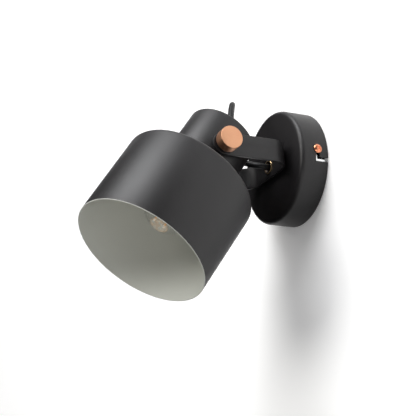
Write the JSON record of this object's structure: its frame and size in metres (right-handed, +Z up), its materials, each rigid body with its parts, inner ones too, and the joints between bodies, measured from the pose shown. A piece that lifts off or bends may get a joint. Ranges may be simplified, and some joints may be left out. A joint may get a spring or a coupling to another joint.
{
  "type": "pivoting spotlight wall light",
  "caption": "Wall light: a dark drum-shaped spot tilts in a U-bracket between copper thumb knobs and swivels on a round wall canopy, with a loop of flex into the bracket.",
  "frame": {"origin": "centre of the canopy's back, in the plane of the wall, midway between the two wall screws", "axes": "+Y into the wall, so the light stands off it towards -Y; +Z up; +X along the tilt axis, to the right as one faces the wall"},
  "size_m": [0.1184, 0.2052, 0.1885],
  "materials": {
    "powder_coat": "matte",
    "zinc_steel": "satin",
    "copper": "satin",
    "brass": "satin",
    "white_plastic": "matte",
    "black_plastic": "matte",
    "flex": "satin",
    "core_insulation": "satin",
    "bulb_cap_metal": "satin",
    "bulb_glass": "gloss",
    "filament": "satin"
  },
  "bodies": {
    "base": {"canopy": "powder_coat", "mounting_bar": "zinc_steel", "canopy_screws": "copper", "terminal_block": "white_plastic", "terminal_inserts": "brass", "terminal_screws": "zinc_steel", "block_screws": "zinc_steel", "earth_screw": "brass", "core_wires": "core_insulation", "cord_stop": "white_plastic", "swivel_bush": "brass", "bush_nut": "brass", "lock_washer": "zinc_steel", "spacer_washer": "black_plastic"},
    "bracket": {"u_bracket": "powder_coat", "knob_washers": "black_plastic", "flex_cable": "flex"},
    "head": {"friction_washers": "zinc_steel", "saddle_washers": "black_plastic", "pivot_nuts": "zinc_steel", "neck_cup": "powder_coat", "cable_gland": "black_plastic", "entry_nipple": "brass", "nipple_nut": "brass", "holder_cap": "black_plastic", "holder_body": "black_plastic", "holder_insert": "white_plastic", "screw_shell": "brass", "centre_contact": "brass", "shade_ring": "white_plastic", "shade": "powder_coat", "bulb_cap": "bulb_cap_metal", "bulb_insulator": "black_plastic", "bulb_contact": "brass", "bulb_glass": "bulb_glass", "bulb_stem": "bulb_glass", "bulb_filaments": "filament"},
    "right_knob": {"knob_right": "copper", "stud_right": "zinc_steel"},
    "left_knob": {"knob_left": "copper", "stud_left": "zinc_steel"}
  },
  "joints": [
    {"name": "bracket_swivel", "type": "hinge", "parent": "base", "child": "bracket", "pos_m": [0, -0.029, 0], "axis": [0, 1, 0], "range_deg": [-160, 160]},
    {"name": "head_tilt", "type": "hinge", "parent": "bracket", "child": "head", "pos_m": [0, -0.092, 0], "axis": [1, 0, 0], "range_deg": [-54, 36], "deforming": ["flex_cable"]},
    {"name": "right_knob_turn", "type": "hinge", "parent": "head", "child": "right_knob", "pos_m": [0.044, -0.092, 0], "axis": [1, 0, 0], "range_deg": [0, 180]},
    {"name": "left_knob_turn", "type": "hinge", "parent": "head", "child": "left_knob", "pos_m": [-0.044, -0.092, 0], "axis": [-1, 0, 0], "range_deg": [0, 180]}
  ]
}
